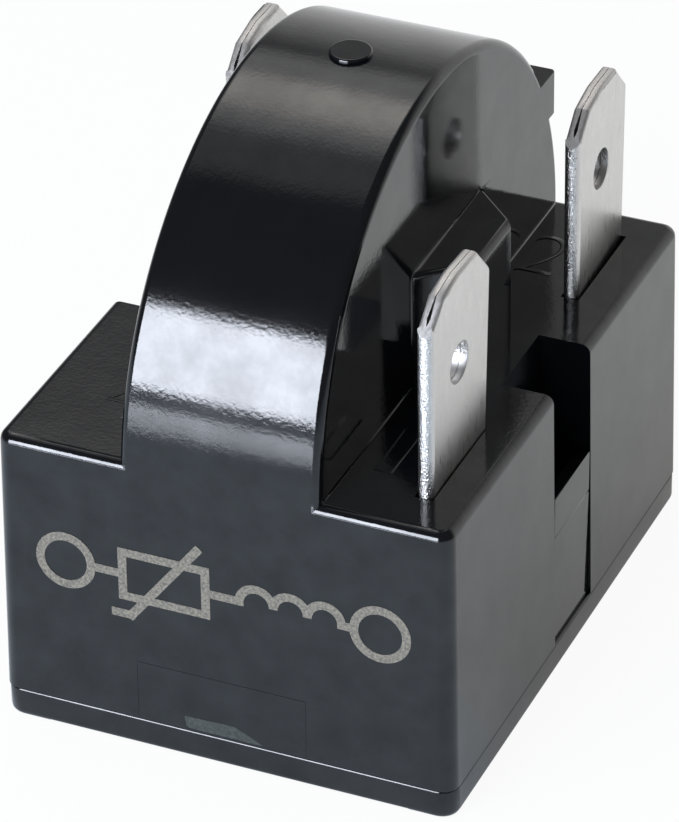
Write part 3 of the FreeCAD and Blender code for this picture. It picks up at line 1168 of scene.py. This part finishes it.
@dataclass
class ClosingCover:
    """Bottom cover with latch arms, disc saddle and funnelled pin holes."""

    material: Material
    plate_half: Pair = (11.483, 14.783)
    rim: float = 1.6
    corner: float = 0.9
    seam_edge: float = 0.16
    foot_edge: float = 0.35
    relief_half: Pair = (9.2, 29.2)
    relief_depth: float = 0.15
    plug_top: float = 3.2
    plug_half: Pair = (9.7, 13.0)
    plug_edge: float = 0.15
    channel_half: float = 2.35
    channel_wall: float = 1.2
    channel_wall_x: float = 7.5
    arm_top: float = 9.85
    arm_thickness: float = 1.2
    arm_recess: float = 0.17
    arm_lip: float = 0.65
    arm_gaps: Pair = (0.1, 0.04)
    arm_edge: float = 0.08
    barb_z: float = 7.65
    barb_reach: float = 0.8
    barb_step: float = 0.05
    saddle_half: Pair = (2.3, 6.0)
    saddle_top: float = 8.0
    disc_z: float = 15.7
    disc_radius: float = 10.0
    seat_half: float = 1.35
    seat_facets: int = 128
    pins: tuple[Pair, ...] = ((6.5, -7.5), (-6.2, -7.5))
    pin_radius: float = 1.85
    pin_facets: int = 72
    funnel_radius: float = 2.7
    funnel_depth: float = 0.9

    def build(self) -> None:
        """Model the whole cover."""
        cover = self.plate()
        arms = both_sides(self.latch_arm())
        combine(cover, [self.plug(), self.saddle(), *arms], Join.ADD)
        x, y = self.relief_half
        relief = add_box("relief", (-x, -y, -PAST), (x, y, self.relief_depth))
        combine(cover, [relief, *self.pin_holes()], Join.CUT)
        finish_piece(cover, "cover_shell", self.material, "bottom_cover")

    def plate(self) -> Solid:
        """Model the plate that shows below the seam."""
        x, y = self.plate_half
        plate = add_box("plate", (-x, -y, 0), (x, y, self.rim))
        with editing(plate):
            pick_edges(plate, lambda a, b: abs(a.z - b.z) > self.rim / 2)
            round_off(self.corner, 6)
            pick_side(plate, UP)
            round_off(self.seam_edge, 3)
            pick_side(plate, DOWN)
            round_off(self.foot_edge, 4)
        return plate

    def plug(self) -> Solid:
        """Model the raised plug that centres the cover in the housing."""
        x, y = self.plug_half
        plug = add_box("plug", (-x, -y, self.rim / 2), (x, y, self.plug_top))
        with editing(plug):
            pick_side(plug, UP)
            round_off(self.plug_edge, 2)
        half = self.channel_half + self.channel_wall
        low = (self.channel_wall_x, BLOCK.side_y - half, self.rim)
        high = (BLOCK.width, BLOCK.side_y + half, self.plug_top + PAST)
        return combine(plug, both_sides(add_box("gap", low, high)), Join.CUT)

    def latch_arm(self) -> Solid:
        """Model the right latch arm, which leans out to the wall, with its barb."""
        wall_x = BLOCK.width / 2
        root_x = wall_x + (BLOCK.top - self.rim) * BLOCK.slope - self.arm_recess
        tip_x = wall_x + (BLOCK.top - self.arm_top) * BLOCK.slope
        inner_x = tip_x - self.arm_thickness
        front, rear = self.arm_gaps
        low_y = BLOCK.side_y - self.channel_half + front
        high_y = BLOCK.side_y + self.channel_half - rear
        low = (root_x - self.arm_thickness, low_y, self.rim / 2)
        arm = add_box("latch_arm", low, (root_x, high_y, self.rim))
        barb_x = inner_x - self.barb_reach / 2
        tip_z = self.arm_top - NEAR

        def outer(a: Vector, b: Vector) -> bool:
            """Whether an edge is on the outside of the arm, above the plate."""
            return min(a.x, b.x) > root_x - NEAR and max(a.z, b.z) > self.rim + NEAR

        with editing(arm):
            pick_side(arm, UP)
            push_out((tip_x - root_x, 0, self.arm_top - self.rim))
            score((0, 0, self.barb_z), UP)
            pick_faces(arm, lambda p, n: n.x < -FACING and p.z > self.barb_z)
            push_out((-self.barb_reach, 0, 0))
            pick_points(arm, lambda p: p.x < barb_x and p.z > tip_z)
            shift((0, 0, self.barb_z + self.barb_step - self.arm_top))
            pick_points(arm, lambda p: p.x < inner_x + NEAR and p.z > tip_z)
            shift((self.arm_thickness - self.arm_lip, 0, 0))
            pick_edges(arm, outer)
            round_off(self.arm_edge, 2)
        return arm

    def saddle(self) -> Solid:
        """Model the saddle that carries the disc."""
        x, y = self.saddle_half
        saddle = add_box("saddle", (-x, -y, self.rim), (x, y, self.saddle_top))
        start, length = (-self.seat_half, 0, self.disc_z), 2 * self.seat_half
        seat = add_rod("seat", start, self.disc_radius, length, Axis.X, self.seat_facets)
        return combine(saddle, [seat], Join.CUT)

    def pin_holes(self) -> list[Solid]:
        """Model the holes for the compressor pins, each with a funnel."""
        length = self.plug_top + 2 * PAST
        middle_z = self.relief_depth + NEAR + self.funnel_depth / 2
        holes = []
        for x, y in self.pins:
            base = (x, y, -PAST)
            holes.append(
                add_rod("pin_hole", base, self.pin_radius, length, Axis.Z, self.pin_facets)
            )
            funnel = add_shape(
                bpy.ops.mesh.primitive_cone_add,
                "funnel",
                vertices=self.pin_facets,
                radius1=self.funnel_radius,
                radius2=self.pin_radius,
                depth=self.funnel_depth,
                location=(x, y, middle_z),
            )
            with editing(funnel):
                pick_side(funnel, DOWN)
                push_out((0, 0, -PAST))
            holes.append(funnel)
        return holes


@dataclass(frozen=True)
class TabPlace:
    """Where a folded tab stands and how it is twisted.

    Attributes:
        y: Middle of the tab along the terminal.
        base_turn: Degrees that it is turned at the roof.
        twist: Further degrees that it is twisted up to its tip.
        rise: How far its tip stands above the common height.
        aside: How far it stands off the line of the strip.
    """

    y: float
    base_turn: float = 0.0
    twist: float = 0.0
    rise: float = 0.0
    aside: float = 0.0


@dataclass
class FoldedTerminal:
    """Sheet terminal: bent strip with quick-connect tabs folded from it.

    It is modelled on the right side and mirrored for the left one. The drop is
    the gap that stays open inside a tab's fold.
    """

    name: str
    node: str
    material: Material
    tab_x: float
    tabs: tuple[TabPlace, ...]
    left: bool = False
    sheet: float = 0.4
    tab_width: float = 6.3
    tab_top: float = 25.4
    tab_low: float = 12.8
    tip_outline: tuple[Pair, ...] = ((0.0, -1.75), (1.42, -0.36), (3.0, 0.0))
    rear_chamfer: Pair = (1.25, 1.38)
    tip_bevel: float = 0.2
    fold_gap: float = 0.003
    twist_step: float = 1.2
    twist_steps: int = 8
    seam: float = 0.03
    drop: float = 0.17
    drop_widest: float = 0.65
    drop_end: float = 1.5
    hole_radius: float = 1.0
    hole_down: float = 4.2
    hole_edge: float = 0.09
    strip_z: Pair = (3.2, 14.2)
    strip_front: float = -11.7
    strip_bend: float = 0.8
    strip_gap: float = 0.02
    middle_half: float = 3.5
    middle_x: float = 6.8
    middle_top: float = 12.0
    rivet_z: float = 6.64
    rivet_radius: float = 0.7

    def build(self) -> None:
        """Model the terminal."""
        body = self.strip()
        combine(body, [self.tab(place) for place in self.tabs], Join.ADD)
        if self.left:
            twin = copy_mirrored(body)
            bpy.data.objects.remove(body)
            body = twin
        finish_piece(body, self.name, self.material, self.node)

    def tab(self, place: TabPlace) -> Solid:
        """Model one tab of two sheet layers folded at the front edge.

        Args:
            place: Where it stands and how it is twisted.

        Returns:
            The tab.
        """
        x, top = self.tab_x, self.tab_top + place.rise
        front, rear = place.y - self.tab_width / 2, place.y + self.tab_width / 2
        hole_z = self.tab_top - self.hole_down
        tab = add_box("tab", (x - self.sheet, front, self.tab_low), (x + self.sheet, rear, top))
        run, fall = self.rear_chamfer
        corners = [(front + y, top + z) for y, z in self.tip_outline]
        sides = [*zip(corners, corners[1:]), ((rear - run, top), (rear, top - fall))]
        slopes = [(a, Vector((0, a[1] - b[1], b[0] - a[0])).normalized()) for a, b in sides]

        def on_face(a: Vector, b: Vector) -> bool:
            """Whether an edge lies in one of the two wide faces."""
            gaps = [abs(abs(p.x - x) - self.sheet) for p in (a, b)]
            return max(gaps) < NEAR and abs(a.x - b.x) < NEAR

        def on_tip(p: Vector) -> bool:
            """Whether a point is on the top or on a chamfer."""
            gaps = [n.y * (p.y - y) + n.z * (p.z - z) for (y, z), n in slopes]
            return min(abs(gap) for gap in (*gaps, top - p.z)) < NEAR

        def at_hole(p: Vector) -> bool:
            """Whether a point is at the latching hole."""
            return math.hypot(p.y - place.y, p.z - hole_z) < self.hole_radius + NEAR

        with editing(tab):
            pick_edges(tab, lambda a, b: max(a.y, b.y) < front + NEAR and abs(a.z - b.z) > LONG)
            round_off(self.sheet - self.fold_gap, 9)
            for level in range(1, self.twist_steps + 1):
                score((0, 0, BLOCK.top + level * self.twist_step), UP)
            for (y, z), normal in slopes:
                slice_off((x, y, z), normal)
            pick_edges(tab, lambda a, b: on_face(a, b) and on_tip(a) and on_tip(b))
            round_off(self.tip_bevel, 3)
        base = (x - PAST, place.y, hole_z)
        hole = add_rod("latching_hole", base, self.hole_radius, 2 * PAST, Axis.X, 48)
        combine(tab, [self.fold_void(front, rear, top), hole], Join.CUT)
        with editing(tab):
            pick_edges(tab, lambda a, b: on_face(a, b) and at_hole(a) and at_hole(b))
            round_off(self.hole_edge, 2)
        return self.twist(tab, place, front)

    def fold_void(self, front: float, rear: float, top: float) -> Solid:
        """Model the seam between the layers and the drop inside the fold.

        Args:
            front: Front edge of the tab.
            rear: Rear edge of the tab.
            top: Height of the tab's tip.

        Returns:
            The void.
        """
        half = self.seam / 2
        low = (self.tab_x - half, front + self.sheet, self.tab_low - PAST)
        void = add_box("fold_void", low, (self.tab_x + half, rear + PAST, top + PAST))
        widest = front + self.drop_widest
        with editing(void):
            score((0, front + self.drop_end, 0), BACK)
            score((0, widest, 0), BACK)
            pick_points(void, lambda p: abs(p.y - widest) < NEAR)
            stretch((self.drop / self.seam, 1, 1), (self.tab_x, 0, 0))
        return void

    def twist(self, tab: Solid, place: TabPlace, front: float) -> Solid:
        """Turn and twist a tab about its folded edge, as the press left it.

        Args:
            tab: Straight tab.
            place: How it is turned and twisted.
            front: Front edge of the tab.

        Returns:
            The twisted tab.
        """
        pivot = Vector((self.tab_x, front + self.sheet, BLOCK.top))
        tab.location = -pivot
        apply_place(tab)
        bend = tab.modifiers.new("twist", "SIMPLE_DEFORM")
        bend.deform_method = "TWIST"
        bend.deform_axis = "Z"
        bend.angle = math.radians(place.twist)
        bpy.ops.object.modifier_apply(modifier=bend.name)
        tab.rotation_euler.z = math.radians(place.base_turn)
        tab.location = pivot + Vector((place.aside, 0, 0))
        return apply_place(tab)

    def strip(self) -> Solid:
        """Model the strip, bent inwards past the latch channel."""
        line_x = self.tab_x - self.sheet / 2
        run = line_x - self.middle_x
        front, rear = BLOCK.side_y - self.middle_half, BLOCK.side_y + self.middle_half
        path = [
            (line_x, front - run),
            (self.middle_x, front),
            (self.middle_x, rear),
            (line_x, rear + run),
            (line_x, self.tabs[-1].y + self.tab_width / 2),
        ]
        low, high = self.strip_z
        start, end = self.strip_front, front - run
        plane = bpy.ops.mesh.primitive_plane_add
        strip = add_shape(plane, "strip", size=1, rotation=Axis.X.turn)
        strip.scale = (1, end - start, high - low)
        strip.location = (line_x, (start + end) / 2, (low + high) / 2)
        apply_place(strip)
        bends = [y for _, y in path[:-1]]
        with editing(strip):
            for here, there in zip(path, path[1:]):
                pick_edges(strip, lambda a, b, y=here[1]: min(a.y, b.y) > y - NEAR)
                push_out((there[0] - here[0], there[1] - here[1], 0))
            pick_edges(
                strip,
                lambda a, b: abs(a.z - b.z) > LONG and any(abs(a.y - y) < NEAR for y in bends),
            )
            # Each bend turns the strip by 45 degrees.
            round_off(self.strip_bend * math.tan(math.radians(45 / 2)), 5)
        only(strip)
        wall = strip.modifiers.new("sheet", "SOLIDIFY")
        wall.thickness = self.sheet - self.strip_gap
        wall.offset = 0
        wall.use_even_offset = True
        bpy.ops.object.modifier_apply(modifier=wall.name)
        with editing(strip):
            turn_outwards()
        if len(self.tabs) > 1:
            front = self.tabs[0].y + self.tab_width / 2
        else:
            front = self.strip_front - PAST
        rear = self.tabs[-1].y - self.tab_width / 2
        cut = add_box("opening", (0, front, self.middle_top), (BLOCK.width, rear, BLOCK.top))
        base = (self.middle_x - PAST, BLOCK.side_y, self.rivet_z)
        hole = add_rod("rivet_hole", base, self.rivet_radius, 2 * PAST, Axis.X, 32)
        return combine(strip, [cut, hole], Join.CUT)


@dataclass
class TerminalNumbers:
    """Raised numerals that tell the four terminal places apart.

    Each place gives the numeral, its middle across and along the block, and
    the width that it is drawn to.
    """

    material: Material
    places: tuple[tuple[str, float, float, float], ...] = (
        ("1", 6.45, -9.0, 0.9),
        ("2", 6.3, 9.5, 1.9),
        ("3", -6.5, 9.0, 1.9),
        ("4", -6.9, -9.5, 1.9),
    )
    height: float = 3.6
    rise: float = 0.035
    # The rest are shares of the height of the letters.
    thinned: float = -0.03
    wall: float = 0.003
    bevel: float = 0.008
    weld: float = 1e-4

    def build(self) -> None:
        """Model each numeral and set it on the top face."""
        for place in self.places:
            self.numeral(*place)

    def numeral(self, digit: str, x: float, y: float, width: float) -> None:
        """Model one numeral.

        Args:
            digit: Which numeral.
            x: Middle across the block.
            y: Middle along the block.
            width: Width that it is drawn to.
        """
        bpy.ops.object.select_all(action="DESELECT")
        bpy.ops.object.text_add()
        text = bpy.context.object.data
        text.body = digit
        text.size = 1.0
        text.offset = self.thinned
        text.extrude = self.wall
        text.bevel_depth = self.bevel
        text.bevel_resolution = 1
        text.resolution_u = 8
        bpy.ops.object.convert(target="MESH")
        mark = bpy.context.object
        points = [vertex.co for vertex in mark.data.vertices]
        low = [min(p[i] for p in points) for i in range(3)]
        high = [max(p[i] for p in points) for i in range(3)]
        size = (width, self.height, 2 * self.rise)
        mark.scale = [s / (b - a) for s, a, b in zip(size, low, high)]
        middle = [(a + b) / 2 * s for a, b, s in zip(low, high, mark.scale)]
        mark.location = Vector((x, y, BLOCK.top)) - Vector(middle)
        apply_place(mark)
        with editing(mark):
            bpy.ops.mesh.select_all(action="SELECT")
            bpy.ops.mesh.remove_doubles(threshold=self.weld)
            turn_outwards()
        finish_piece(mark, "numeral_" + digit, self.material)


@dataclass
class EtchedDiagram:
    """Circuit symbols that a laser has etched into the front face.

    A terminal, the thermistor, the winding that it starts and a terminal.
    Strokes lap in depth by a little, so that no two of their faces coincide.
    """

    material: Material
    stroke: float = 0.44
    depth: float = 0.1
    proud: float = 0.03
    lap: float = 0.0012
    middle_z: float = 9.6
    ring_x: float = 7.9
    ring_radius: float = 1.3
    turn_x: float = 1.75
    turn_radius: float = 0.85
    turn_step: float = 0.01
    wires: tuple[Pair, ...] = ((-6.2, -5.2), (-0.4, 0.9), (6.0, 6.3))
    box_x: float = -2.9
    box_half: Pair = (2.1, 1.2)
    slash_half: Pair = (1.7, 2.2)
    slash_foot: Pair = (-2.5, -1.75)

    def build(self) -> None:
        """Model the row of symbols and lay it on the drafted face."""
        before, between, after = self.wires
        turns = [self.turn(index) for index in range(3)]
        strokes = [
            self.ring(-self.ring_x, self.ring_radius),
            self.wire(before),
            *self.thermistor(),
            self.wire(between),
            *turns,
            self.wire(after),
            self.ring(self.ring_x, self.ring_radius),
        ]
        for index, stroke in enumerate(strokes):
            stroke.location.y = self.lap * index
            apply_place(stroke)
        diagram = combine(strokes[0], strokes[1:], Join.ADD)
        lay_on_front(diagram, self.proud, self.middle_z)
        finish_piece(diagram, "etched_diagram", self.material)

    def bar(self, start: Pair, end: Pair) -> Solid:
        """Model a straight stroke.

        Args:
            start: Where it starts on the face, across and up.
            end: Where it ends.

        Returns:
            The stroke.
        """
        run = Vector((end[0] - start[0], end[1] - start[1]))
        half = self.stroke / 2
        bar = add_box("bar", (-half, 0, -half), (run.length + half, self.depth, half))
        bar.rotation_euler.y = -math.atan2(run.y, run.x)
        bar.location = (start[0], 0, start[1])
        return apply_place(bar)

    def wire(self, span: Pair) -> Solid:
        """Model a wire along the middle line."""
        return self.bar((span[0], 0), (span[1], 0))

    def ring(self, x: float, radius: float) -> Solid:
        """Model a circle of even stroke on the middle line.

        Args:
            x: Middle of the circle.
            radius: Radius to the middle of the stroke.

        Returns:
            The ring.
        """
        half = self.stroke / 2
        ring = add_rod("ring", (x, 0, 0), radius + half, self.depth, Axis.Y, 64)
        hole = add_rod("inside", (x, -PAST, 0), radius - half, 2 * PAST, Axis.Y, 64)
        return combine(ring, [hole], Join.CUT)

    def turn(self, index: int) -> Solid:
        """Model one turn of the winding, cut off a little below the middle line.

        Args:
            index: Which turn, counted from the left.

        Returns:
            The turn.
        """
        x = self.turn_x + 2 * self.turn_radius * index
        turn = self.ring(x, self.turn_radius)
        with editing(turn):
            slice_off((x, 0, -self.turn_step * index - NEAR), DOWN)
        return turn

    def thermistor(self) -> list[Solid]:
        """Model the resistor box with the slash that marks it as heat-sensitive."""
        x, half, (across, up) = self.box_x, self.stroke / 2, self.box_half
        low, high = (x - across - half, 0, -up - half), (x + across + half, self.depth, up + half)
        box = add_box("box", low, high)
        low = (x - across + half, -PAST, -up + half)
        inside = add_box("inside", low, (x + across - half, PAST, up - half))
        combine(box, [inside], Join.CUT)
        out, rise = self.slash_half
        foot = [(x + end, -rise) for end in self.slash_foot]
        return [box, self.bar((x - out, -rise), (x + out, rise)), self.bar(*foot)]


# Studio


def direction(azimuth: float, elevation: float) -> Vector:
    """Point from the object into the room.

    Args:
        azimuth: Degrees round from the front, positive to the right.
        elevation: Degrees above the floor.

    Returns:
        Direction of length 1.
    """
    a, e = math.radians(azimuth), math.radians(elevation)
    return Vector((math.sin(a) * math.cos(e), -math.cos(a) * math.cos(e), math.sin(e)))


@dataclass(frozen=True)
class Glow:
    """Soft round glow in the room, seen only in reflections.

    Attributes:
        azimuth: Degrees round from the front, positive to the right.
        elevation: Degrees above the floor.
        inner: Degrees from its middle where it starts to fade.
        outer: Degrees from its middle where it has gone.
        level: Brightness, where 1 is white.
        colour: Its colour.
    """

    azimuth: float
    elevation: float
    inner: float
    outer: float
    level: float
    colour: str = "#ffffff"

    def add_to(self, tree: Tree, ray: Socket) -> Node:
        """Build its nodes.

        Args:
            tree: Tree of the world.
            ray: Direction that is looked in.

        Returns:
            Node that gives the glow's colour in that direction.
        """
        centre = direction(self.azimuth, self.elevation)
        near = add_node(tree, "VectorMath", [ray, centre], operation="DOT_PRODUCT")
        edges = [math.cos(math.radians(angle)) for angle in (self.outer, self.inner)]
        fade = [near, *edges, 0.0, self.level]
        level = add_node(tree, "MapRange", fade, interpolation_type="SMOOTHSTEP")
        tint = {0: linear(self.colour)[:3], "Scale": level}
        return add_node(tree, "VectorMath", tint, operation="SCALE")


@dataclass(frozen=True)
class Softbox:
    """Lamp with an even rectangular face that looks at the object.

    Attributes:
        name: What the softbox is.
        azimuth: Degrees round from the front, positive to the right.
        elevation: Degrees above the floor.
        distance_mm: Distance from the object.
        size_mm: Width and height.
        radiance: Brightness of its face, where 1 is white.
        colour: Colour of its light.
        glossy: Whether it only shows in reflections, or else only lights what is matt.
        aim_mm: Height that it looks at.
    """

    name: str
    azimuth: float
    elevation: float
    distance_mm: float
    size_mm: Pair
    radiance: float
    colour: str
    glossy: bool
    aim_mm: float = 26.0

    def hang(self) -> None:
        """Hang the lamp."""
        data = bpy.data.lights.new(self.name, "AREA")
        data.shape = "RECTANGLE"
        data.size, data.size_y = (side * MM for side in self.size_mm)
        data.energy = self.radiance * math.pi * data.size * data.size_y
        data.color = linear(self.colour)[:3]
        lamp = bpy.data.objects.new(self.name, data)
        lamp.visible_glossy = self.glossy
        lamp.visible_diffuse = not self.glossy
        out = direction(self.azimuth, self.elevation)
        lamp.rotation_mode = "QUATERNION"
        lamp.rotation_quaternion = out.to_track_quat("Z", "Y")
        lamp.location = out * self.distance_mm * MM + Vector((0, 0, self.aim_mm * MM))
        bpy.context.scene.collection.objects.link(lamp)


@dataclass
class Studio:
    """Floor, softboxes, dim room and the camera of the photograph.

    Attributes:
        room: Brightness of the room in reflections.
        diffuse_room: Brightness of the light that it gives matt surfaces.
    """

    eye_mm: Point = (85.445, -193.453, 147.918)
    forward: Point = (-0.33655, 0.76870, -0.54391)
    right: Point = (0.91912, 0.39379, -0.01217)
    lens: float = 231.05
    sensor: float = 36.0
    shift: Pair = (-0.02786, 0.00153)
    clip: Pair = (0.01, 20.0)
    floor_half_mm: float = 3000.0
    floor_drop_mm: float = 0.05
    room: float = 0.11
    diffuse_room: float = 0.55
    glows: tuple[Glow, ...] = (
        Glow(165.0, -8.0, 25.0, 62.0, 1.0),
        Glow(-146.0, 56.0, 1.0, 12.0, 2.1, "#fff6ec"),
        Glow(-146.0, 53.0, 12.0, 24.0, 1.25),
        Glow(-102.0, 65.0, 10.0, 18.0, 0.45),
    )
    softboxes: tuple[Softbox, ...] = (
        Softbox("front softbox", -15.0, 8.5, 168.0, (120.0, 84.0), 21.5, "#edf3ff", True),
        Softbox("front fill", -20.0, 30.0, 400.0, (260.0, 260.0), 9.0, "#e1f2ff", False),
    )

    def build(self) -> None:
        """Set the camera, the floor and the lights."""
        self.camera()
        self.floor()
        self.world()
        for softbox in self.softboxes:
            softbox.hang()
        bpy.context.scene.view_settings.view_transform = "Standard"

    def camera(self) -> None:
        """Stand the camera at the photograph's viewpoint."""
        data = bpy.data.cameras.new("camera")
        data.lens = self.lens
        data.sensor_width = self.sensor
        data.shift_x, data.shift_y = self.shift
        data.clip_start, data.clip_end = self.clip
        camera = bpy.data.objects.new("camera", data)
        bpy.context.scene.collection.objects.link(camera)
        back = -Vector(self.forward).normalized()
        right = Vector(self.right).normalized()
        turn = Matrix((right, back.cross(right), back)).transposed().to_4x4()
        camera.matrix_world = Matrix.Translation(Vector(self.eye_mm) * MM) @ turn
        bpy.context.scene.camera = camera

    def floor(self) -> None:
        """Lay the card and the table."""
        bpy.ops.object.select_all(action="DESELECT")
        bpy.ops.mesh.primitive_plane_add(
            size=2 * self.floor_half_mm * MM, location=(0, 0, -self.floor_drop_mm * MM)
        )
        floor = bpy.context.object
        floor.name = "floor"
        wear(floor, CardOnTable().build())

    def world(self) -> None:
        """Light the room evenly and hang its glows where the gloss shows them."""
        world = bpy.data.worlds.new("studio")
        bpy.context.scene.world = world
        world.use_nodes = True
        tree = world.node_tree
        tree.nodes.clear()
        ray = add_node(tree, "TexCoord").outputs["Generated"]
        room = (self.room,) * 3
        for glow in self.glows:
            room = add_node(tree, "VectorMath", [room, glow.add_to(tree, ray)], operation="ADD")
        rays = add_node(tree, "LightPath").outputs
        plain = (*(self.diffuse_room,) * 3, 1.0)
        for kind, tone in (("Is Diffuse Ray", plain), ("Is Camera Ray", WHITE)):
            mix = {"Factor": rays[kind], "A": room, "B": tone}
            room = add_node(tree, "Mix", mix, data_type="RGBA")
        background = add_node(tree, "Background", [room, 1.0])
        add_node(tree, "OutputWorld", {"Surface": background})


def main() -> None:
    """Build the relay's looks in order and report each piece."""
    logging.basicConfig(level=logging.INFO, format="%(name)s: %(message)s")
    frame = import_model()
    plastic = MouldedPlastic().build()
    tin = SheetMetal("tin-plated brass", "#d1cfcd", "#c6c4c2").build()
    steel = SheetMetal("stainless spring strip", "#b9b9b6", "#aaaaa8").build()
    brass = SheetMetal("plain brass", "#c9a55c", "#b8934c").build()
    ceramic = SilveredCeramic().build()
    etched = EtchedPlastic().build()
    frosted = EtchedPlastic(
        "frosted plastic scar", "#343a37", "#121514", speck_mm=0.15, roughness=0.5
    ).build()
    for name, material in (
        ("thermistor_disc", ceramic),
        ("main_contact_spring", steel),
        ("start_contact_spring", steel),
        ("spring_rivets", brass),
        ("main_pin_socket", tin),
        ("start_pin_socket", tin),
        ("main_socket_clip", steel),
        ("start_socket_clip", steel),
    ):
        wear(frame["nodes"][name], material)
        LOG.info("%s: %s", name, material.name)
    scar = GateScar(frosted)
    HousingShell(plastic, scar).build()
    ClosingCover(plastic).build()
    front = TabPlace(-8.95, twist=-3.0, rise=0.55, aside=0.06)
    rear = TabPlace(9.45, base_turn=1.5, twist=-1.5, rise=0.24, aside=-0.13)
    FoldedTerminal("main_terminal_strip", "main_terminal", tin, 8.95, (front, rear)).build()
    left = TabPlace(9.45, rise=0.15)
    FoldedTerminal("start_terminal_strip", "start_terminal", tin, 8.65, (left,), left=True).build()
    TerminalNumbers(plastic).build()
    EtchedDiagram(etched).build()
    scar.build()
    Studio().build()


if __name__ == "__main__":
    main()
